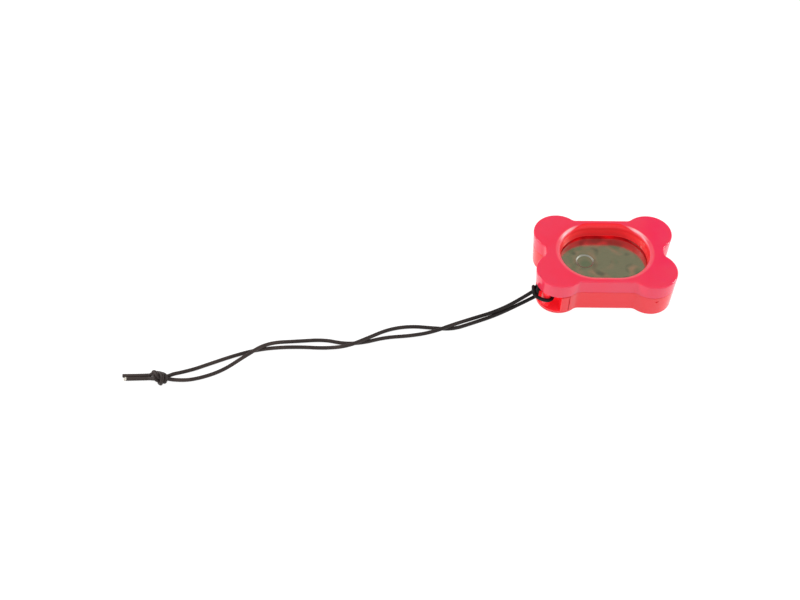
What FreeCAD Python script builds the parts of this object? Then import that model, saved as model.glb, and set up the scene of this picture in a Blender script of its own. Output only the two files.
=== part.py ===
"""Clicker trainer: a bone-shaped plastic case round a dimpled spring-steel strip, on a wrist cord.

Millimetres. The origin is the centre of the case's flat underside, X runs along the case, Y towards
its back and Z up. The strip is clamped at the -X end, and its +X end is pressed down by a thumb.
"""

import FreeCAD, Part
import math
import os

Vector = FreeCAD.Vector
UP = Vector(0, 0, 1)
TOLERANCE = 1e-4

# Case outline: four round lobes, joined by straight ends and straight waists.
LOBE_X = 21.0
LOBE_Y = 11.7
LOBE_R = 11.0
END_HALF = 27.0
WAIST_HALF = 19.3
BLEND_R = 3.0

# Case heights and wall thicknesses.
HEIGHT = 19.3
PARTING_Z = 11.7
DRAFT_INSET = 1.0
FLOOR = 2.0
BASE_WALL = 1.8
CAP_WALL = 1.8
CAP_TOP = 2.0
TOP_ROUND = 0.6
BOTTOM_ROUND = 0.8
PARTING_CHAMFER = 0.18

# Thumb well: a stadium through the cap.
WELL_R = 15.4
WELL_SHIFT = 4.9
WELL_DRAFT = 0.3
WELL_WALL = 2.0
WELL_ROUND = 2.2
WELL_FOOT_Z = 13.2

# Click spring: one strip that lies on the base's ledge, split at its clamp line.
STRIP_T = 0.45
STRIP_TOP_Z = PARTING_Z + STRIP_T
STRIP_R = 17.3
STRIP_HALF = 16.2
TAB_END_X = -24.5
CLAMP_X = -20.8
SPLIT_GAP = 0.1
DIMPLE_X = -8.5
DIMPLE_R = 4.1
DIMPLE_FLOOR_R = 3.5
DIMPLE_DEPTH = 0.3
PEG_X = -22.9
PEG_Y = 4.6
PEG_R = 0.9
PEG_TOP_Z = STRIP_TOP_Z + 0.8
PEG_CLEARANCE = 0.08
PEG_ROOM = 0.3
RIB_START_X = TAB_END_X + 0.4
RIB_END_X = CLAMP_X - 0.2
RIB_HALF = 6.5
LEDGE_END_X = CLAMP_X - 0.15
LEDGE_HALF = 7.2

# Bosses that join the cap to the base, in every lobe but the one with the lanyard.
BOSS_PLACES = ((21.8, 13.8), (21.8, -13.8), (-21.8, 13.8))
BOSS_R = 3.0
CAP_BOSS_R = 2.5
PIN_R = 1.5
PIN_CLEARANCE = 0.05
PIN_END_Z = 7.0
SOCKET_END_Z = 6.5

# Stops on the base's floor that end the strip's travel.
STOP_X = 19.0
STOP_HALF = 8.0
STOP_T = 1.5
STOP_TOP_Z = 9.05

# Lanyard recess in the front left lobe, and the post in it.
RECESS_X = -20.5
RECESS_Y = -9.5
RECESS_CORNER_R = 3.0
RECESS_WALL = 1.9
CHAMBER_R = 17.7
POST_X = -26.8
POST_Y = -16.4
POST_R = 2.1
POST_FOOT = 0.5
SEAM_X = -16.7
SEAM_WIDTH = 0.35
SEAM_DEPTH = 0.6
SEAM_FOOT_Z = 1.6
SEAM_STEP = 0.35

# Moulding marks.
EJECTOR_R = 2.0
EJECTOR_DEPTH = 0.15
GATE_X = 22.7
GATE_Z = 9.3
GATE_R = 0.7
GATE_DEPTH = 0.4
GATE_LENGTH = 2.0

# Wrist cord.
CORD_D = 1.5
REST_Z = 0.8
OVER_Z = 2.7
HITCH_CENTRE = Vector(-31.4, -15.6, 8.2)
HITCH_SEMI = (2.3, 2.4, 2.8)
KNOT_CENTRE = Vector(-197.8, -62.3, 2.65)
KNOT_SEMI = (3.9, 4.5, 2.6)

# The turn round the post, from the hitch's front to its back.
TURN_ROUTE = [
    (-32.0, -16.2, 7.0),
    (-28.35, -19.45, 6.5),
    (-25.5, -19.5, 6.4),
    (-23.6, -17.65, 6.4),
    (-23.6, -15.1, 6.4),
    (-25.5, -13.3, 6.4),
    (-28.3, -13.3, 6.6),
    (-32.0, -14.9, 7.4),
]

# The two strands, from the hitch to the knot. They cross three times.
BACK_ROUTE = [
    (-31.8, -15.5, 9.7),
    (-41.0, -18.0, 6.4),
    (-50.5, -20.7, 2.3),
    (-60.5, -23.9, REST_Z),
    (-70.0, -29.7, OVER_Z),
    (-79.0, -35.6, OVER_Z),
    (-89.0, -36.3, REST_Z),
    (-100.0, -37.3, REST_Z),
    (-110.0, -40.6, REST_Z),
    (-118.5, -41.2, REST_Z),
    (-127.5, -39.0, REST_Z),
    (-139.0, -40.0, REST_Z),
    (-153.0, -42.7, OVER_Z),
    (-162.0, -50.4, OVER_Z),
    (-171.5, -57.2, REST_Z),
    (-181.5, -61.6, REST_Z),
    (-189.5, -63.3, 1.3),
    (-196.4, -63.0, 2.4),
]
FRONT_ROUTE = [
    (-31.9, -16.8, 6.3),
    (-41.0, -20.8, 4.0),
    (-50.5, -24.0, 1.7),
    (-60.5, -28.7, REST_Z),
    (-69.5, -32.9, REST_Z),
    (-78.5, -31.6, REST_Z),
    (-88.5, -30.6, REST_Z),
    (-98.5, -32.5, REST_Z),
    (-107.7, -39.2, OVER_Z),
    (-116.9, -44.2, OVER_Z),
    (-127.0, -43.9, REST_Z),
    (-138.0, -43.3, REST_Z),
    (-149.0, -43.8, REST_Z),
    (-158.5, -45.5, REST_Z),
    (-168.0, -49.0, REST_Z),
    (-177.5, -53.4, REST_Z),
    (-187.0, -58.2, 1.3),
    (-195.8, -61.4, 2.5),
]

# The cut ends beyond the knot.
LONG_TAIL_ROUTE = [
    (-200.6, -60.8, 2.0),
    (-207.6, -59.9, REST_Z),
    (-215.0, -60.1, REST_Z),
]
SHORT_TAIL_ROUTE = [
    (-200.4, -62.4, 1.8),
    (-207.0, -61.6, REST_Z),
    (-213.7, -62.4, REST_Z),
]


def polar(centre, radius, angle):
    """The plan point at an angle round a centre."""
    return centre[0] + radius * math.cos(angle), centre[1] + radius * math.sin(angle)


def quadrant_arcs(inset):
    """The arcs of one quarter of the outline, from its end to its waist: blend, lobe, blend."""
    reach = LOBE_R + BLEND_R
    end_x = END_HALF + BLEND_R
    end_blend = (end_x, LOBE_Y - math.sqrt(reach**2 - (end_x - LOBE_X) ** 2))
    waist_y = WAIST_HALF + BLEND_R
    waist_blend = (LOBE_X - math.sqrt(reach**2 - (waist_y - LOBE_Y) ** 2), waist_y)
    to_end = math.atan2(end_blend[1] - LOBE_Y, end_blend[0] - LOBE_X)
    to_waist = math.atan2(waist_blend[1] - LOBE_Y, waist_blend[0] - LOBE_X)
    return [
        (end_blend, BLEND_R + inset, math.pi, to_end + math.pi),
        ((LOBE_X, LOBE_Y), LOBE_R - inset, to_end, to_waist),
        (waist_blend, BLEND_R + inset, to_waist + math.pi, 1.5 * math.pi),
    ]


def outline(inset, z):
    """The closed bone outline at a height, moved in by an inset."""
    arcs = []
    for side_x, side_y in ((1, 1), (-1, 1), (-1, -1), (1, -1)):
        quarter = []
        for centre, radius, start, end in quadrant_arcs(inset):
            plan = [polar(centre, radius, a) for a in (start, (start + end) / 2, end)]
            quarter.append([Vector(side_x * x, side_y * y, z) for x, y in plan])
        if side_x != side_y:
            quarter = [arc[::-1] for arc in quarter[::-1]]
        arcs += quarter
    edges = []
    for arc, following in zip(arcs, arcs[1:] + arcs[:1]):
        edges.append(Part.Arc(*arc).toShape())
        if arc[2].distanceToPoint(following[0]) > TOLERANCE:
            edges.append(Part.makeLine(arc[2], following[0]))
    return Part.Wire(edges)


def bone(inset_low, z_low, inset_high, z_high):
    """A drafted block of the bone outline."""
    return Part.makeLoft([outline(inset_low, z_low), outline(inset_high, z_high)], True, True)


def case_inset(z):
    """How far the case's outside is drafted in at a height."""
    return DRAFT_INSET * (1 - z / HEIGHT)


def stadium(radius, z):
    """The wire of a stadium as long as the thumb well's straight sides."""
    shift = WELL_SHIFT
    right = Part.Arc(Vector(shift, -radius, z), Vector(shift + radius, 0, z), Vector(shift, radius, z))
    left = Part.Arc(Vector(-shift, radius, z), Vector(-shift - radius, 0, z), Vector(-shift, -radius, z))
    back = Part.makeLine(Vector(shift, radius, z), Vector(-shift, radius, z))
    front = Part.makeLine(Vector(-shift, -radius, z), Vector(shift, -radius, z))
    return Part.Wire([right.toShape(), back, left.toShape(), front])


def stadium_block(radius_low, z_low, radius_high, z_high):
    """A drafted stadium block."""
    return Part.makeLoft([stadium(radius_low, z_low), stadium(radius_high, z_high)], True, True)


def box(x_low, x_high, y_low, y_high, z_low, z_high):
    """A box from its limits."""
    return Part.makeBox(x_high - x_low, y_high - y_low, z_high - z_low, Vector(x_low, y_low, z_low))


def rod(x, y, radius, z_low, z_high):
    """An upright cylinder."""
    return Part.makeCylinder(radius, z_high - z_low, Vector(x, y, z_low), UP)


def flat_edges(shape, z):
    """The edges of a shape that lie at a height."""
    found = []
    for edge in shape.Edges:
        limits = edge.BoundBox
        if abs(limits.ZMin - z) < TOLERANCE and abs(limits.ZMax - z) < TOLERANCE:
            found.append(edge)
    return found


def top_shell():
    """The cap: skirt, top with the thumb well, bosses with pins, and the rib that clamps the strip."""
    body = bone(case_inset(PARTING_Z), PARTING_Z, 0, HEIGHT)
    body = body.makeFillet(TOP_ROUND, flat_edges(body, HEIGHT))
    body = body.makeChamfer(PARTING_CHAMFER, flat_edges(body, PARTING_Z))
    body = body.cut(stadium_block(WELL_R - WELL_DRAFT, PARTING_Z, WELL_R, HEIGHT))
    rim = stadium(WELL_R, HEIGHT)
    rim_edges = [e for e in flat_edges(body, HEIGHT) if rim.distToShape(e)[0] < TOLERANCE]
    body = body.makeFillet(WELL_ROUND, rim_edges)

    ceiling = HEIGHT - CAP_TOP
    outer_well = WELL_R + WELL_WALL
    pockets = bone(case_inset(PARTING_Z) + CAP_WALL, PARTING_Z, CAP_WALL, ceiling)
    body = body.cut(pockets.cut(stadium_block(outer_well, WELL_FOOT_Z, outer_well, ceiling)))

    for x, y in BOSS_PLACES:
        body = body.fuse(rod(x, y, CAP_BOSS_R, PARTING_Z, ceiling))
        body = body.fuse(rod(x, y, PIN_R - PIN_CLEARANCE, PIN_END_Z, PARTING_Z))
    body = body.fuse(rod(POST_X, POST_Y, POST_R, PARTING_Z, ceiling))

    rib = box(RIB_START_X, RIB_END_X, -RIB_HALF, RIB_HALF, STRIP_TOP_Z, ceiling)
    body = body.fuse(rib)
    for side in (-1, 1):
        body = body.cut(rod(PEG_X, side * PEG_Y, PEG_R + PEG_ROOM, STRIP_TOP_Z, PEG_TOP_Z + PEG_ROOM))
    return body.removeSplitter()


def recess_tool():
    """The cut that opens the front left lobe, from its floor up to the cap."""
    tool = box(-LOBE_X - 2 * LOBE_R, RECESS_X, -LOBE_Y - 2 * LOBE_R, RECESS_Y, FLOOR, PARTING_Z)
    upright = Part.makeLine(Vector(RECESS_X, RECESS_Y, FLOOR), Vector(RECESS_X, RECESS_Y, PARTING_Z))
    corner = [e for e in tool.Edges if e.CenterOfMass.distanceToPoint(upright.CenterOfMass) < TOLERANCE]
    return tool.makeFillet(RECESS_CORNER_R, corner)


def lanyard_post():
    """The post that the cord is hitched to, with a small round foot."""
    post = rod(POST_X, POST_Y, POST_R, FLOOR, PARTING_Z)
    foot = rod(POST_X, POST_Y, POST_R + POST_FOOT, FLOOR, FLOOR + POST_FOOT)
    ring = Part.makeTorus(POST_R + POST_FOOT, POST_FOOT, Vector(POST_X, POST_Y, FLOOR + POST_FOOT), UP)
    return post.fuse(foot.cut(ring))


def bottom_shell():
    """The base: floor, walls, sockets, the strip's ledge and stops, and the lanyard recess."""
    body = bone(case_inset(0), 0, case_inset(PARTING_Z), PARTING_Z)
    body = body.makeFillet(BOTTOM_ROUND, flat_edges(body, 0))
    body = body.makeChamfer(PARTING_CHAMFER, flat_edges(body, PARTING_Z))

    chamber = bone(
        case_inset(FLOOR) + BASE_WALL, FLOOR, case_inset(PARTING_Z) + BASE_WALL, PARTING_Z
    )
    lobe_edge = RECESS_Y + RECESS_WALL
    lanyard_lobe = box(-END_HALF - LOBE_R, -LOBE_X / 2, -WAIST_HALF - LOBE_R, lobe_edge, FLOOR, PARTING_Z)
    lanyard_lobe = lanyard_lobe.cut(stadium_block(CHAMBER_R, FLOOR, CHAMBER_R, PARTING_Z))
    body = body.cut(chamber.cut(lanyard_lobe))
    body = body.cut(recess_tool())
    body = body.fuse(lanyard_post())

    for x, y in BOSS_PLACES:
        body = body.fuse(rod(x, y, BOSS_R, FLOOR, PARTING_Z))
        body = body.cut(rod(x, y, PIN_R, SOCKET_END_Z, PARTING_Z))

    ledge_start = -END_HALF + BASE_WALL
    body = body.fuse(box(ledge_start, LEDGE_END_X, -LEDGE_HALF, LEDGE_HALF, FLOOR, PARTING_Z))
    for side in (-1, 1):
        body = body.fuse(rod(PEG_X, side * PEG_Y, PEG_R, PARTING_Z, PEG_TOP_Z))
    body = body.fuse(box(STOP_X - STOP_T / 2, STOP_X + STOP_T / 2, -STOP_HALF, STOP_HALF, FLOOR, STOP_TOP_Z))

    front = -LOBE_Y - 2 * LOBE_R
    seam = box(SEAM_X - SEAM_WIDTH / 2, SEAM_X + SEAM_WIDTH / 2, front, 0, SEAM_FOOT_Z, PARTING_Z)
    step = box(RECESS_X, SEAM_X, front, 0, PARTING_Z - SEAM_STEP, PARTING_Z)
    skin = bone(0, 0, 0, PARTING_Z).cut(
        bone(case_inset(0) + SEAM_DEPTH, 0, case_inset(PARTING_Z) + SEAM_DEPTH, PARTING_Z)
    )
    body = body.cut(seam.common(skin)).cut(step.common(skin))

    for side_x in (-1, 1):
        for side_y in (-1, 1):
            body = body.cut(rod(side_x * LOBE_X, side_y * LOBE_Y, EJECTOR_R, 0, EJECTOR_DEPTH))

    gate_y = -LOBE_Y - math.sqrt((LOBE_R - case_inset(GATE_Z)) ** 2 - (GATE_X - LOBE_X) ** 2)
    gate_start = Vector(GATE_X, gate_y + GATE_DEPTH - GATE_LENGTH, GATE_Z)
    body = body.cut(Part.makeCylinder(GATE_R, GATE_LENGTH, gate_start, Vector(0, 1, 0)))
    return body.removeSplitter()


def strip_plan():
    """The strip's plan as a block: a wide stadium cut straight at its front and back, with a tab."""
    low = STRIP_TOP_Z - STRIP_T
    plan = stadium_block(STRIP_R, low, STRIP_R, STRIP_TOP_Z)
    return plan.common(box(-END_HALF, END_HALF, -STRIP_HALF, STRIP_HALF, low, STRIP_TOP_Z))


def dimple():
    """The stamped dish: a flat floor and a sloping wall, of the strip's own thickness."""
    top = [(0, -DIMPLE_DEPTH), (DIMPLE_FLOOR_R, -DIMPLE_DEPTH), (DIMPLE_R, 0)]
    outline = top + [(r, z - STRIP_T) for r, z in reversed(top)]
    corners = [Vector(DIMPLE_X + r, 0, STRIP_TOP_Z + z) for r, z in outline]
    profile = Part.Face(Part.makePolygon(corners + corners[:1]))
    return profile.revolve(Vector(DIMPLE_X, 0, 0), UP, 360)


def spring_blade():
    """The strip's free length, with the click dimple."""
    low = STRIP_TOP_Z - STRIP_T
    free_length = box(CLAMP_X + SPLIT_GAP, END_HALF, -STRIP_HALF, STRIP_HALF, low, STRIP_TOP_Z)
    blade = strip_plan().common(free_length)
    blade = blade.cut(rod(DIMPLE_X, 0, DIMPLE_R, low, STRIP_TOP_Z))
    return blade.fuse(dimple()).removeSplitter()


def spring_clamped_end():
    """The strip's clamped tab, located by two pegs."""
    low = STRIP_TOP_Z - STRIP_T
    half = math.sqrt(STRIP_R**2 - (CLAMP_X + WELL_SHIFT) ** 2)
    tab = box(TAB_END_X, CLAMP_X, -half, half, low, STRIP_TOP_Z)
    for side in (-1, 1):
        tab = tab.cut(rod(PEG_X, side * PEG_Y, PEG_R + PEG_CLEARANCE, low, STRIP_TOP_Z))
    return tab


def ellipsoid(centre, semi):
    """A ball stretched to three half sizes."""
    stretch = FreeCAD.Matrix()
    stretch.scale(Vector(*semi))
    stretch.move(centre)
    return Part.makeSphere(1.0).transformGeometry(stretch)


def tube(name, points):
    """A round tube along straight runs joined by tangent arcs, as large as the runs allow."""
    points = [Vector(*p) for p in points]
    edges = []
    last = points[0]
    radii = []
    for before, corner, after in zip(points, points[1:], points[2:]):
        back = before - corner
        ahead = after - corner
        half_turn = (math.pi - back.getAngle(ahead)) / 2
        reach = 0.45 * min(back.Length, ahead.Length)
        radii.append(reach / math.tan(half_turn))
        start = corner + back.normalize() * reach
        end = corner + ahead.normalize() * reach
        bisector = (back + ahead).normalize()
        to_centre = radii[-1] / math.cos(half_turn)
        middle = corner + bisector * (to_centre - radii[-1])
        edges.append(Part.LineSegment(last, start).toShape())
        edges.append(Part.Arc(start, middle, end).toShape())
        last = end
    edges.append(Part.LineSegment(last, points[-1]).toShape())
    path = Part.Wire(edges)
    circle = Part.Circle(points[0], points[1] - points[0], CORD_D / 2)
    solid = path.makePipeShell([Part.Wire([circle.toShape()])], True, False)
    section = math.pi * CORD_D**2 / 4
    print(
        f"{name}: length {path.Length:.1f}, smallest radius {min(radii):.1f}, "
        f"volume / (section x length) {solid.Volume / (section * path.Length):.4f}"
    )
    print("   radii", " ".join(f"{r:.0f}" for r in radii))
    return solid


def cord_nodes():
    """The wrist cord: its turn round the post, hitch, two strands, end knot and cut ends."""
    hitch = ellipsoid(HITCH_CENTRE, HITCH_SEMI)
    knot = ellipsoid(KNOT_CENTRE, KNOT_SEMI)
    nodes = {"cord_hitch": hitch, "cord_end_knot": knot}
    routes = {
        "cord_turn": TURN_ROUTE,
        "cord_strand_back": BACK_ROUTE,
        "cord_strand_front": FRONT_ROUTE,
        "cord_tail_long": LONG_TAIL_ROUTE,
        "cord_tail_short": SHORT_TAIL_ROUTE,
    }
    for name, route in routes.items():
        nodes[name] = tube(name, route).cut(hitch).cut(knot)
    return nodes


os.makedirs("parts", exist_ok=True)
nodes = {
    "top_shell": top_shell(),
    "bottom_shell": bottom_shell(),
    "spring_blade": spring_blade(),
    "spring_clamped_end": spring_clamped_end(),
}
nodes.update(cord_nodes())
for name, shape in nodes.items():
    print(f"{name}: valid {shape.isValid()}, {len(shape.Solids)} solid, volume {shape.Volume:.1f}")
    print("   box", shape.BoundBox)
    shape.exportStep(f"parts/{name}.step")
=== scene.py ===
import math

import bpy
import numpy as np
from mathutils import Euler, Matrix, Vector


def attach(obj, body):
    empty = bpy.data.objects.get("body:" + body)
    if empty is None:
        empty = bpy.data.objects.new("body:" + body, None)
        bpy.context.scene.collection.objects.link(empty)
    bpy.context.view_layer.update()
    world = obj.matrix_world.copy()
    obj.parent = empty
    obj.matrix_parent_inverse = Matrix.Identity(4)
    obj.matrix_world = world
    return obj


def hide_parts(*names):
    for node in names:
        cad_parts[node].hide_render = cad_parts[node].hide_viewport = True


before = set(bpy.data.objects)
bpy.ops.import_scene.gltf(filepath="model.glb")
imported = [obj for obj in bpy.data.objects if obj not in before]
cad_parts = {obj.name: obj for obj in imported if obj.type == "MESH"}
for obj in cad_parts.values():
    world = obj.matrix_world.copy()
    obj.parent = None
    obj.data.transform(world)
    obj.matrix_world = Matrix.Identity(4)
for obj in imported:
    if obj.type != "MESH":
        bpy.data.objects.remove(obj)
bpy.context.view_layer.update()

MM = 0.001

# The cord, in millimetres.
CORD_WIDTH = 1.6
POST = (-26.8, -16.4)
POST_REACH = 2.9
HITCH_CEILING = 10.85
KNOT_CENTRE = (-198.5, -65.0, 2.7)
KNOT_SIZE = 1.3
KNOT_ROLL, KNOT_YAW, KNOT_SIDE = math.radians(190), math.radians(5), math.radians(80)
KNOT_POINTS = 72
KNOT_MOUTH_X = -192.7
KNOT_TAIL_X = -202.7

# The studio's colours.
HORIZON = (0.95, 0.95, 0.97)
WALLS = (0.20, 0.21, 0.23)
OVERHEAD = (0.75, 0.76, 0.80)
FRONT = (0.96, 0.96, 0.98)
PANEL = (0.33, 0.305, 0.225)

# Places on the case and the strip that their materials follow, in metres.
RECESS_X, RECESS_Y = -0.0204, -0.0094
WELL_REACH = 0.0155
WELL_RIM = 0.0176
WELL_SHIFT = 0.0049
WELL_FOOT_Z = 0.0132
WELL_TOP_Z = 0.0175
DISH_X = -0.0085
DISH_WALL = 0.0038

# ---------------------------------------------------------------- camera, light and floor


def add(name, data):
    """Links a new object to the scene."""
    made = bpy.data.objects.new(name, data)
    bpy.context.scene.collection.objects.link(made)
    return made


def make_camera():
    data = bpy.data.cameras.new("camera")
    data.sensor_width = 36.0
    data.lens = 59.0
    data.clip_start = 0.01
    data.clip_end = 20.0
    camera = add("camera", data)
    camera.location = (-0.0886, -0.4088, 0.4601)
    camera.rotation_euler = Euler((math.radians(40.61), 0.0, math.radians(0.736)))
    bpy.context.scene.camera = camera


def softbox(name, place, size, power):
    """A rectangular lamp aimed at the middle of the case's underside."""
    data = bpy.data.lights.new(name, "AREA")
    data.shape = "RECTANGLE"
    data.size, data.size_y = size
    data.energy = power
    lamp = add(name, data)
    lamp.location = place
    toward = -lamp.location
    lamp.rotation_euler = toward.to_track_quat("-Z", "Y").to_euler()


def ramp(nodes, stops):
    """A colour ramp node from (position, colour) stops."""
    node = nodes.new("ShaderNodeValToRGB")
    elements = node.color_ramp.elements
    while len(elements) > 1:
        elements.remove(elements[-1])
    elements[0].position, elements[0].color = stops[0][0], (*stops[0][1], 1)
    for at, colour in stops[1:]:
        elements.new(at).color = (*colour, 1)
    return node


def make_world():
    """A studio pale overhead and at the horizon, with one dim olive panel that the strip mirrors."""
    world = bpy.data.worlds.new("studio")
    bpy.context.scene.world = world
    world.use_nodes = True
    nodes, links = world.node_tree.nodes, world.node_tree.links
    place = nodes.new("ShaderNodeTexCoord").outputs["Generated"]
    split = nodes.new("ShaderNodeSeparateXYZ")
    links.new(place, split.inputs[0])
    bands = [(0.0, HORIZON), (0.25, HORIZON), (0.45, WALLS), (0.85, WALLS), (0.95, OVERHEAD)]
    shade = ramp(nodes, bands)
    links.new(split.outputs["Z"], shade.inputs["Fac"])
    facing = nodes.new("ShaderNodeVectorMath")
    facing.operation = "DOT_PRODUCT"
    facing.inputs[1].default_value = Vector((0.08, 0.66, 0.74)).normalized()
    links.new(place, facing.inputs[0])
    panel = spread(nodes, links, facing.outputs["Value"], 0.84, 0.93, 0, 1)
    front = spread(nodes, links, split.outputs["Y"], 0.1, -0.5, 0, 1)
    room = mix(nodes, links, front, shade.outputs["Color"], FRONT)
    background = nodes["Background"]
    links.new(mix(nodes, links, panel, room, PANEL), background.inputs["Color"])
    background.inputs["Strength"].default_value = 1.0


def make_floor():
    mesh = bpy.data.meshes.new("floor")
    half = 3.0
    corners = [(-half, -half, 0), (half, -half, 0), (half, half, 0), (-half, half, 0)]
    mesh.from_pydata(corners, [], [(0, 1, 2, 3)])
    floor = add("floor", mesh)
    material = bpy.data.materials.new("floor")
    material.use_nodes = True
    shader = material.node_tree.nodes["Principled BSDF"]
    shader.inputs["Base Color"].default_value = (0.2, 0.2, 0.2, 1)
    shader.inputs["Roughness"].default_value = 0.9
    shader.inputs["Specular IOR Level"].default_value = 0.0
    shader.inputs["Emission Color"].default_value = (1, 1, 1, 1)
    shader.inputs["Emission Strength"].default_value = 0.92
    mesh.materials.append(material)
    floor.location.z = -0.0001


# ---------------------------------------------------------------- materials


def principled(name):
    material = bpy.data.materials.new(name)
    material.use_nodes = True
    return material, material.node_tree.nodes, material.node_tree.links


def noise(nodes, links, place, scale, detail=3.0, rough=0.5):
    node = nodes.new("ShaderNodeTexNoise")
    node.inputs["Scale"].default_value = scale
    node.inputs["Detail"].default_value = detail
    node.inputs["Roughness"].default_value = rough
    links.new(place, node.inputs["Vector"])
    return node.outputs["Fac"]


def mix(nodes, links, factor, first, second):
    """A colour mix. Each of first and second is a colour or a socket."""
    node = nodes.new("ShaderNodeMix")
    node.data_type = "RGBA"
    links.new(factor, node.inputs["Factor"])
    for socket, value in ((node.inputs[6], first), (node.inputs[7], second)):
        if isinstance(value, tuple):
            socket.default_value = (*value, 1)
        else:
            links.new(value, socket)
    return node.outputs[2]


def spread(nodes, links, value, low, high, to_low, to_high):
    """Maps a value from one range to another, clamped."""
    node = nodes.new("ShaderNodeMapRange")
    for socket, number in zip(("From Min", "From Max", "To Min", "To Max"), (low, high, to_low, to_high)):
        node.inputs[socket].default_value = number
    links.new(value, node.inputs["Value"])
    return node.outputs["Result"]


def bump(nodes, links, height, strength, distance, normal=None):
    node = nodes.new("ShaderNodeBump")
    node.inputs["Strength"].default_value = strength
    node.inputs["Distance"].default_value = distance
    links.new(height, node.inputs["Height"])
    if normal is not None:
        links.new(normal, node.inputs["Normal"])
    return node.outputs["Normal"]


def math_node(nodes, links, operation, first, second=None):
    node = nodes.new("ShaderNodeMath")
    node.operation = operation
    for socket, value in zip(node.inputs, (first, second)):
        if isinstance(value, (int, float)):
            socket.default_value = value
        elif value is not None:
            links.new(value, socket)
    return node.outputs[0]


def product(nodes, links, first, second):
    return math_node(nodes, links, "MULTIPLY", first, second)


def distance(nodes, links, along, across):
    """The length of a plan offset from its two parts."""
    square = product(nodes, links, along, along)
    return math_node(
        nodes, links, "SQRT", math_node(nodes, links, "ADD", square, product(nodes, links, across, across))
    )


def split_place(nodes, links, place):
    """The sockets of a place's three coordinates."""
    node = nodes.new("ShaderNodeSeparateXYZ")
    links.new(place, node.inputs[0])
    return node.outputs["X"], node.outputs["Y"], node.outputs["Z"]


def recess_glow(nodes, links, x, y, z, reach):
    """A painted glow: emission in place of light that comes through the thin walls round the cord's
    recess.
    """
    corner = math_node(nodes, links, "LESS_THAN", x, RECESS_X)
    front = math_node(nodes, links, "LESS_THAN", y, RECESS_Y)
    above = spread(nodes, links, z, 0.0015, 0.0021, 0, 0.3)
    return product(nodes, links, product(nodes, links, corner, front), above)


def well_glow(nodes, links, x, y, z, reach):
    """A painted glow: emission in place of light that comes through the cap into the thumb well, strongest
    under the well's wall.
    """
    near = spread(nodes, links, reach, 0.0180, 0.0185, 1, 0)
    under = spread(nodes, links, z, WELL_FOOT_Z, WELL_FOOT_Z + 0.0004, 0.45, 0)
    upward = spread(nodes, links, z, WELL_FOOT_Z + 0.0004, 0.0160, 0, 0.12)
    fading = spread(nodes, links, z, WELL_TOP_Z - 0.001, WELL_TOP_Z, 1, 0)
    wall = product(nodes, links, upward, fading)
    return product(nodes, links, math_node(nodes, links, "ADD", under, wall), near)


def well_tones(nodes, links, colour, x, y, z, reach, painted_bounce_red):
    """Adds the well to a case colour: a painted highlight round the rim, pale painted highlights at its
    far corners, and a darker, more saturated red wall painted in for the red light that bounces round the
    well.
    """
    sideways = math_node(nodes, links, "ABSOLUTE", x)
    behind = spread(nodes, links, y, 0.006, 0.011, 0, 1)
    back = product(nodes, links, behind, spread(nodes, links, sideways, 0.009, 0.015, 1, 0))

    rim = spread(nodes, links, reach, WELL_RIM - 0.0005, WELL_RIM + 0.0003, 1, 0)
    # Painted highlight: a lighter pink band round the well's rounded rim, faded out at the back.
    painted_rim_highlight = product(nodes, links, rim, spread(nodes, links, back, 0, 1, 0.5, 0))
    colour = mix(nodes, links, painted_rim_highlight, colour, (0.88, 0.15, 0.18))

    # Painted highlights: near-white arcs on the rim at the well's two far back corners.
    corners = product(nodes, links, behind, spread(nodes, links, sideways, 0.011, 0.015, 0, 0.8))
    band = product(
        nodes,
        links,
        spread(nodes, links, reach, WELL_REACH + 0.0004, WELL_REACH + 0.0008, 0, 1),
        spread(nodes, links, reach, WELL_RIM - 0.0006, WELL_RIM - 0.0002, 1, 0),
    )
    colour = mix(nodes, links, product(nodes, links, corners, band), colour, (0.95, 0.55, 0.56))

    # Painted bounce light: inside the well the wall takes a darker, more saturated red, for the red light
    # that bounces round the well.
    wider_back = spread(nodes, links, back, 0, 1, 0, 0.0017)
    inner = math_node(nodes, links, "SUBTRACT", reach, wider_back)
    inside = spread(nodes, links, inner, WELL_REACH, WELL_REACH + 0.0004, 1, 0)
    off_underside = spread(nodes, links, z, 0.0003, 0.0006, 0, 1)
    return mix(nodes, links, product(nodes, links, inside, off_underside), colour, painted_bounce_red)


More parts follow.
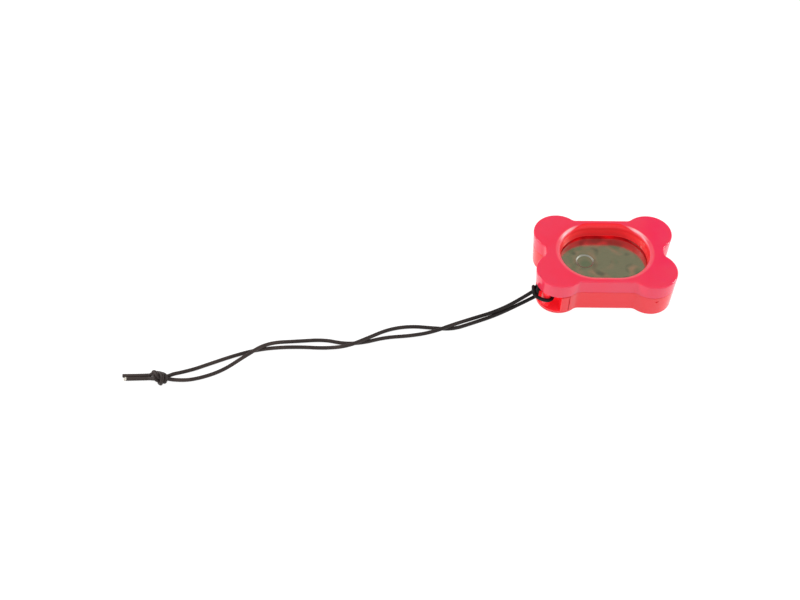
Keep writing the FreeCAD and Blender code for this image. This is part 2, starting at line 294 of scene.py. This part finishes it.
def plastic(name, tone, cloudy, free_end, painted_bounce_red, glow):
    """Moulded pink-red plastic: a little cloudy, and of another tone towards the free end."""
    material, nodes, links = principled(name)
    shader = nodes["Principled BSDF"]
    place = nodes.new("ShaderNodeTexCoord").outputs["Object"]
    x, y, z = split_place(nodes, links, place)
    beyond = math_node(nodes, links, "SUBTRACT", math_node(nodes, links, "ABSOLUTE", x), WELL_SHIFT)
    reach = distance(nodes, links, math_node(nodes, links, "MAXIMUM", beyond, 0.0), y)

    colour = mix(nodes, links, spread(nodes, links, x, 0.012, 0.028, 0, 1), tone, free_end)
    clouds = spread(nodes, links, noise(nodes, links, place, 60.0), 0.35, 0.7, 0, 1)
    colour = mix(nodes, links, clouds, colour, cloudy)
    colour = well_tones(nodes, links, colour, x, y, z, reach, painted_bounce_red)
    # Painted contact shadow: darker towards the bottom edge, where the case meets the floor.
    painted_contact_shadow = spread(nodes, links, z, 0.0002, 0.0009, 0.45, 0)
    colour = mix(nodes, links, painted_contact_shadow, colour, (0.30, 0.010, 0.012))
    links.new(colour, shader.inputs["Base Color"])

    fine = noise(nodes, links, place, 900.0, 2.0)
    rough = spread(nodes, links, fine, 0.3, 0.7, 0.12, 0.20)
    rougher_wall = spread(nodes, links, reach, 0.0158, 0.0164, 0.22, 0)
    links.new(math_node(nodes, links, "ADD", rough, rougher_wall), shader.inputs["Roughness"])
    # Painted glow: emission in place of light that comes through the thin plastic.
    links.new(glow(nodes, links, x, y, z, reach), shader.inputs["Emission Strength"])
    shader.inputs["Emission Color"].default_value = (0.9, 0.012, 0.025, 1)
    shader.inputs["IOR"].default_value = 1.49
    shader.inputs["Subsurface Weight"].default_value = 0.25
    shader.inputs["Subsurface Radius"].default_value = (1.0, 0.2, 0.1)
    shader.inputs["Subsurface Scale"].default_value = 0.002
    ripples = noise(nodes, links, place, 140.0, 1.0)
    normal = bump(nodes, links, fine, 0.01, 0.00005)
    normal = bump(nodes, links, ripples, 0.05, 0.0003, normal)
    links.new(normal, shader.inputs["Normal"])
    return material


def steel():
    """Polished rolled spring steel: faint temper colours, smudges, rolling lines and a dull ring."""
    material, nodes, links = principled("spring_steel")
    shader = nodes["Principled BSDF"]
    place = nodes.new("ShaderNodeTexCoord").outputs["Object"]
    stretch = nodes.new("ShaderNodeMapping")
    stretch.inputs["Scale"].default_value = (1.0, 14.0, 1.0)
    links.new(place, stretch.inputs["Vector"])
    rolling = noise(nodes, links, stretch.outputs[0], 320.0, 4.0, 0.6)
    pink = spread(nodes, links, noise(nodes, links, place, 135.0, 1.5), 0.44, 0.66, 0, 1)
    tint = mix(nodes, links, pink, (0.57, 0.59, 0.49), (0.98, 0.64, 0.54))
    green = spread(nodes, links, noise(nodes, links, place, 118.0, 1.0), 0.46, 0.64, 0, 0.9)
    tint = mix(nodes, links, green, tint, (0.36, 0.50, 0.38))
    smudge = spread(nodes, links, noise(nodes, links, place, 165.0, 1.0), 0.56, 0.72, 0, 0.75)
    tint = mix(nodes, links, smudge, tint, (0.26, 0.30, 0.28))
    tint = mix(nodes, links, spread(nodes, links, rolling, 0.35, 0.7, 0, 0.4), tint, (0.40, 0.43, 0.37))

    x, y, _ = split_place(nodes, links, place)
    radius = distance(nodes, links, math_node(nodes, links, "SUBTRACT", x, DISH_X), y)
    off = math_node(nodes, links, "ABSOLUTE", math_node(nodes, links, "SUBTRACT", radius, DISH_WALL))
    ring = spread(nodes, links, off, 0.0003, 0.0005, 1, 0)
    tint = mix(nodes, links, ring, tint, (0.36, 0.37, 0.31))
    links.new(tint, shader.inputs["Base Color"])
    shader.inputs["Metallic"].default_value = 1.0
    rough = spread(nodes, links, rolling, 0.3, 0.7, 0.09, 0.20)
    rough = math_node(nodes, links, "ADD", rough, spread(nodes, links, ring, 0, 1, 0, 0.30))
    links.new(rough, shader.inputs["Roughness"])
    waves = noise(nodes, links, place, 110.0, 1.0)
    normal = bump(nodes, links, waves, 0.10, 0.0004)
    normal = bump(nodes, links, rolling, 0.04, 0.00005, normal)
    links.new(normal, shader.inputs["Normal"])
    return material


def cord_fibre():
    """Black braided elastic: painted shade between the carriers, and darkest near the case."""
    material, nodes, links = principled("elastic_cord")
    shader = nodes["Principled BSDF"]
    place = nodes.new("ShaderNodeTexCoord")
    fine = noise(nodes, links, place.outputs["Object"], 4000.0, 3.0)
    broad = noise(nodes, links, place.outputs["Object"], 90.0, 2.0)
    attribute = nodes.new("ShaderNodeAttribute")
    attribute.attribute_name = "weave"
    weave = attribute.outputs["Fac"]
    # Painted shade: darker in the hollows between the carriers, lighter on their crowns.
    raised = spread(nodes, links, weave, 0.1, 0.9, 0, 1)
    tone = mix(nodes, links, raised, (0.008, 0.006, 0.005), (0.050, 0.034, 0.030))
    tone = mix(nodes, links, spread(nodes, links, broad, 0.45, 0.7, 0, 0.4), tone, (0.085, 0.058, 0.048))
    x, _, _ = split_place(nodes, links, place.outputs["Object"])
    fresh = spread(nodes, links, x, -0.11, -0.035, 0, 0.85)
    tone = mix(nodes, links, fresh, tone, (0.002, 0.0015, 0.0015))
    links.new(tone, shader.inputs["Base Color"])
    shader.inputs["Roughness"].default_value = 0.55
    shader.inputs["Specular IOR Level"].default_value = 0.25
    shader.inputs["Sheen Weight"].default_value = 0.04
    shader.inputs["Sheen Roughness"].default_value = 0.4
    links.new(bump(nodes, links, fine, 0.3, 0.00004), shader.inputs["Normal"])
    return material


def rubber_core():
    """The pale rubber strands that a cut cord end shows."""
    material, nodes, links = principled("rubber_core")
    shader = nodes["Principled BSDF"]
    place = nodes.new("ShaderNodeTexCoord").outputs["Object"]
    strands = nodes.new("ShaderNodeTexVoronoi")
    strands.inputs["Scale"].default_value = 3500.0
    links.new(place, strands.inputs["Vector"])
    tone = spread(nodes, links, strands.outputs["Distance"], 0.2, 0.7, 0, 1)
    links.new(mix(nodes, links, tone, (0.80, 0.77, 0.68), (0.35, 0.32, 0.27)), shader.inputs["Base Color"])
    shader.inputs["Roughness"].default_value = 0.6
    return material


# ---------------------------------------------------------------- cord


HITCH_ROUTE = [
    (-31.8, -15.5, 9.5),
    (-30.2, -14.9, 9.4),
    (-28.4, -13.4, 9.0),
    (-26.6, -12.6, 7.4),
    (-24.0, -13.3, 6.5),
    (-23.2, -16.0, 6.2),
    (-23.8, -18.6, 6.2),
    (-26.2, -19.7, 6.3),
    (-28.6, -19.4, 6.6),
    (-31.2, -18.6, 7.4),
    (-32.7, -17.7, 9.2),
    (-33.0, -16.6, 10.9),
    (-32.9, -14.7, 10.9),
    (-32.7, -13.8, 9.2),
    (-32.4, -14.6, 7.5),
    (-32.0, -16.4, 7.5),
    (-31.6, -17.4, 9.2),
    (-31.4, -16.4, 10.9),
    (-31.2, -14.5, 10.9),
    (-31.0, -13.6, 9.2),
    (-30.8, -14.2, 7.4),
    (-30.9, -15.6, 6.6),
    (-31.9, -16.8, 6.3),
]
BACK_ROUTE = [
    (-31.8, -15.5, 9.5),
    (-41.0, -19.9, 5.6),
    (-50.5, -22.8, 2.1),
    (-60.5, -25.7, 0.8),
    (-70.0, -31.2, 2.7),
    (-79.0, -35.6, 2.7),
    (-89.0, -36.3, 0.8),
    (-100.0, -37.3, 0.8),
    (-110.0, -40.6, 0.8),
    (-118.5, -41.2, 0.8),
    (-127.5, -39.0, 0.8),
    (-139.0, -40.0, 0.8),
    (-153.0, -42.7, 2.7),
    (-162.0, -50.4, 2.7),
    (-171.5, -57.2, 0.8),
    (-181.5, -61.6, 0.8),
    (-189.5, -63.3, 1.3),
    (-196.4, -63.0, 2.4),
]
FRONT_ROUTE = [
    (-31.9, -16.8, 6.3),
    (-41.0, -20.6, 3.6),
    (-50.5, -24.0, 0.8),
    (-60.5, -28.4, 0.8),
    (-69.5, -32.2, 0.8),
    (-78.5, -31.6, 0.8),
    (-88.5, -30.6, 0.8),
    (-98.5, -32.5, 0.8),
    (-107.7, -39.2, 2.7),
    (-116.9, -44.2, 2.7),
    (-127.0, -43.9, 0.8),
    (-138.0, -43.3, 0.8),
    (-149.0, -43.8, 0.8),
    (-158.5, -45.5, 0.8),
    (-168.0, -49.0, 0.8),
    (-177.5, -53.4, 0.8),
    (-187.0, -58.2, 1.3),
    (-195.8, -61.4, 2.5),
]
LONG_TAIL_ROUTE = [
    (-200.6, -60.8, 2.0),
    (-207.6, -60.4, 0.8),
    (-215.0, -60.5, 0.8),
]
SHORT_TAIL_ROUTE = [
    (-200.4, -62.4, 1.8),
    (-207.0, -62.0, 0.8),
    (-213.7, -62.2, 0.8),
]


def spline_points(route, fineness=48):
    """The points along the smooth NURBS curve through a route, in millimetres."""
    curve = bpy.data.curves.new("route", "CURVE")
    curve.dimensions = "3D"
    curve.resolution_u = fineness
    spline = curve.splines.new("NURBS")
    spline.points.add(len(route) - 1)
    for point, place in zip(spline.points, route):
        point.co = (*place, 1.0)
    spline.order_u = 3
    spline.use_endpoint_u = True
    holder = bpy.data.objects.new("route", curve)
    mesh = bpy.data.meshes.new_from_object(holder)
    points = np.array([v.co for v in mesh.vertices], float)
    bpy.data.objects.remove(holder)
    bpy.data.curves.remove(curve)
    bpy.data.meshes.remove(mesh)
    return points


def relax(lines, spacing, rounds, held=3, floor=0.76, bend=0.3, post=None, ceiling=None):
    """Pulls cords tight, one point chain each: even spacing, little bending and no overlap.

    The first and last few points of each line stay where they are. Lengths are in millimetres.
    """
    points = np.concatenate(lines)
    strand = np.repeat(np.arange(len(lines)), [len(line) for line in lines])
    order = np.concatenate([np.arange(len(line)) for line in lines])
    last = np.concatenate([np.full(len(line), len(line) - 1) for line in lines])
    free = ((order >= held) & (last - order >= held)).astype(float)[:, None]
    begin = np.where(order < last)[0]
    middle = np.where((order > 0) & (order < last))[0]
    first, second = np.triu_indices(len(points), 1)
    together = strand[first] == strand[second]
    apart = second - first
    for turn in range(rounds):
        goal = spacing[0] + (spacing[1] - spacing[0]) * min(1.0, turn / (0.8 * rounds))
        for _ in range(4):
            link = points[begin + 1] - points[begin]
            size = np.linalg.norm(link, axis=1, keepdims=True)
            pull = 0.25 * (size - goal) / size * link
            move = np.zeros_like(points)
            move[begin] += pull
            move[begin + 1] -= pull
            move[middle] += bend * ((points[middle - 1] + points[middle + 1]) / 2 - points[middle])
            points = points + move * free
            gap = points[first] - points[second]
            away = np.linalg.norm(gap, axis=1)
            touching = (away < CORD_WIDTH) & ~(together & (apart * goal < 2.3 * CORD_WIDTH))
            i, j = first[touching], second[touching]
            push = gap[touching] * ((CORD_WIDTH - away[touching]) / (2 * away[touching]))[:, None]
            move = np.zeros_like(points)
            crowd = np.ones(len(points))
            np.add.at(move, i, push)
            np.add.at(move, j, -push)
            np.add.at(crowd, i, 1.0)
            np.add.at(crowd, j, 1.0)
            points = points + move / np.maximum(1, 0.35 * crowd)[:, None] * free
            if post is not None:
                (x, y), reach = post
                out = points[:, :2] - (x, y)
                far = np.linalg.norm(out, axis=1, keepdims=True)
                points[:, :2] += out / far * np.maximum(0, reach - far) * free
            points[:, 2:] += np.maximum(0, floor - points[:, 2:]) * free
            if ceiling is not None:
                points[:, 2:] -= np.maximum(0, points[:, 2:] - ceiling) * free
    return np.split(points, np.cumsum([len(line) for line in lines])[:-1])


def overhand(centre, size, roll, yaw, side, count):
    """A doubled overhand knot, loosely laid: two lines, one each side of a trefoil curve."""
    t = np.linspace(-1.9, 1.9, count)
    u = -0.42 * size * (t**5 - 10 * t)
    v = -1.45 * size * (t**3 - 3 * t)
    w = 1.25 * size * (t**4 - 4 * t**2 + 1.5)
    c, s = math.cos(roll), math.sin(roll)
    v, w = c * v - s * w, s * v + c * w
    c, s = math.cos(yaw), math.sin(yaw)
    u, v = c * u - s * v, s * u + c * v
    base = np.stack([u, v, w], axis=1) + centre
    if base[0, 0] < base[-1, 0]:
        base = base[::-1]
    ahead = np.gradient(base, axis=0)
    ahead /= np.linalg.norm(ahead, axis=1)[:, None]
    normal = np.cross(ahead[0], (0.0, 0.0, 1.0))
    offsets = []
    for tangent in ahead:
        normal = normal - tangent * (normal @ tangent)
        normal /= np.linalg.norm(normal)
        offsets.append(math.cos(side) * normal + math.sin(side) * np.cross(tangent, normal))
    offsets = 0.8 * np.array(offsets)
    return base + offsets, base - offsets


def braid_tube(name, line, material, sides=24, carriers=8, pitch=1.15, cut=None):
    """A braided round cord along a line in mm: its surface rises over each carrier.

    cut slants the last ring, as an oblique cut does, and leaves the end for the core.
    """
    tangents = np.gradient(line, axis=0)
    tangents /= np.linalg.norm(tangents, axis=1)[:, None]
    across = np.cross(tangents[0], (0.0, 0.0, 1.0))
    if np.linalg.norm(across) < 0.1:
        across = np.cross(tangents[0], (0.0, 1.0, 0.0))
    turn = np.arange(sides) / sides
    angle = 2 * np.pi * turn
    travelled = np.concatenate([[0], np.cumsum(np.linalg.norm(np.diff(line, axis=0), axis=1))])
    rings, weave = [], []
    for centre, tangent, s in zip(line, tangents, travelled):
        across = across - tangent * (across @ tangent)
        across /= np.linalg.norm(across)
        p = carriers * turn + s / pitch
        q = carriers * turn - s / pitch
        crown_p, crown_q = np.sin(np.pi * (p % 1.0)), np.sin(np.pi * (q % 1.0))
        over = (np.floor(p) + np.floor(q)) % 2 == 0
        height = np.where(over, crown_p * crown_q**0.4, crown_q * crown_p**0.4)
        reach = CORD_WIDTH / 2 * (0.99 + 0.11 * height)
        sideways, upright = across, np.cross(tangent, across)
        spokes = np.cos(angle)[:, None] * sideways + np.sin(angle)[:, None] * upright
        rings.append(centre + reach[:, None] * spokes)
        weave.append(height)
    if cut is not None:
        for ring, share in zip(rings[-6:], np.linspace(0, 1, 6)):
            ring += share * ((ring - line[-1]) @ np.array(cut))[:, None] * tangents[-1]
    count = len(line)
    quads = []
    for i in range(count - 1):
        for j in range(sides):
            k = (j + 1) % sides
            quads.append((i * sides + j, i * sides + k, (i + 1) * sides + k, (i + 1) * sides + j))
    caps = [tuple(reversed(range(sides))), tuple((count - 1) * sides + j for j in range(sides))]
    mesh = bpy.data.meshes.new(name)
    mesh.from_pydata((np.concatenate(rings) * MM).tolist(), [], quads + caps)
    mesh.update()
    attribute = mesh.attributes.new("weave", "FLOAT", "POINT")
    attribute.data.foreach_set("value", np.concatenate(weave).astype(np.float32))
    mesh.shade_smooth()
    mesh.materials.append(material)
    return add(name, mesh), mesh


def cord_piece(made, *nodes):
    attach(made, "case")
    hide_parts(*nodes)
    return made


def run_in(line, step=0.6):
    """Three places on a line's own direction, from just inside it to its last point."""
    ahead = (line[-1] - line[-2]) / np.linalg.norm(line[-1] - line[-2])
    return np.array([line[-1] - ahead * step * k for k in (2, 1, 0)])


def tied_knot(strands, tails, material):
    """The doubled overhand knot that both strands and both tails run into, as two tubes, one for each
    line.
    """
    laid = overhand(KNOT_CENTRE, KNOT_SIZE, KNOT_ROLL, KNOT_YAW, KNOT_SIDE, KNOT_POINTS)
    laid = sorted(laid, key=lambda line: line[0][1])
    near_tail = laid[0][-1][1] < laid[1][-1][1]
    pairs = zip(laid, strands, tails if near_tail else tails[::-1])
    lines = [np.concatenate([run_in(a), line, run_in(b)[::-1]]) for line, a, b in pairs]
    lines = relax(lines, (0.64, 0.48), 350)
    pieces = []
    for number, line in enumerate(lines):
        smooth = spline_points(line[1:-1], 3)
        pieces.append(braid_tube(f"cord_knot_{number}", smooth, material)[0])
    return pieces


def make_cord(material, core):
    hitch = spline_points(HITCH_ROUTE, 5)
    gap = float(np.linalg.norm(np.diff(hitch, axis=0), axis=1).mean())
    around = (POST, POST_REACH)
    hitch = relax(
        [hitch], (gap, 0.97 * gap), 60, held=2, bend=0.05, post=around, ceiling=HITCH_CEILING
    )[0]
    turn = braid_tube("cord_turn_braid", spline_points(hitch, 3), material)[0]
    cord_piece(turn, "cord_turn", "cord_hitch")

    strands, tails = [], []
    for route in (BACK_ROUTE, FRONT_ROUTE):
        line = spline_points(route)
        strands.append(line[line[:, 0] > KNOT_MOUTH_X])
    for route in (SHORT_TAIL_ROUTE, LONG_TAIL_ROUTE):
        line = spline_points(route)
        tails.append(line[line[:, 0] < KNOT_TAIL_X])
    knot = tied_knot(strands, [line[::-1] for line in tails], material)
    for piece in knot:
        cord_piece(piece, "cord_end_knot")

    carried = list(knot)
    slanted = (0.0, 0.4, -1.0)
    for name, line, cut in (("cord_tail_short", tails[0], slanted), ("cord_tail_long", tails[1], None)):
        piece, mesh = braid_tube(name + "_braid", line, material, cut=cut)
        mesh.materials.append(core)
        mesh.polygons[-1].material_index = 1
        mesh.polygons[-1].use_smooth = False
        carried.append(cord_piece(piece, name))
    for name, line in (("cord_strand_back", strands[0]), ("cord_strand_front", strands[1])):
        strand = cord_piece(braid_tube(name + "_braid", line, material)[0], name)


# ---------------------------------------------------------------- the scene


make_camera()
make_world()
make_floor()
softbox("left_box", (-0.75, 0.13, 0.47), (0.22, 0.32), 4.2)
softbox("right_box", (0.72, 0.14, 0.42), (0.22, 0.36), 3.8)
bpy.context.scene.view_settings.view_transform = "Standard"

cap_plastic = plastic(
    "cap_plastic",
    tone=(0.81, 0.031, 0.078),
    cloudy=(0.79, 0.042, 0.094),
    free_end=(0.81, 0.018, 0.088),
    # Painted bounce light: the more saturated red inside the well.
    painted_bounce_red=(0.84, 0.008, 0.016),
    glow=well_glow,
)
base_plastic = plastic(
    "base_plastic",
    tone=(0.82, 0.020, 0.030),
    cloudy=(0.81, 0.026, 0.040),
    free_end=(0.82, 0.044, 0.062),
    # Painted bounce light: the more saturated red inside the well.
    painted_bounce_red=(0.88, 0.012, 0.020),
    glow=recess_glow,
)
spring_steel = steel()
elastic = cord_fibre()
finishes = {
    "top_shell": cap_plastic,
    "bottom_shell": base_plastic,
    "spring_blade": spring_steel,
    "spring_clamped_end": spring_steel,
}
for name, material in finishes.items():
    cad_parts[name].data.materials.clear()
    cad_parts[name].data.materials.append(material)
make_cord(elastic, rubber_core())
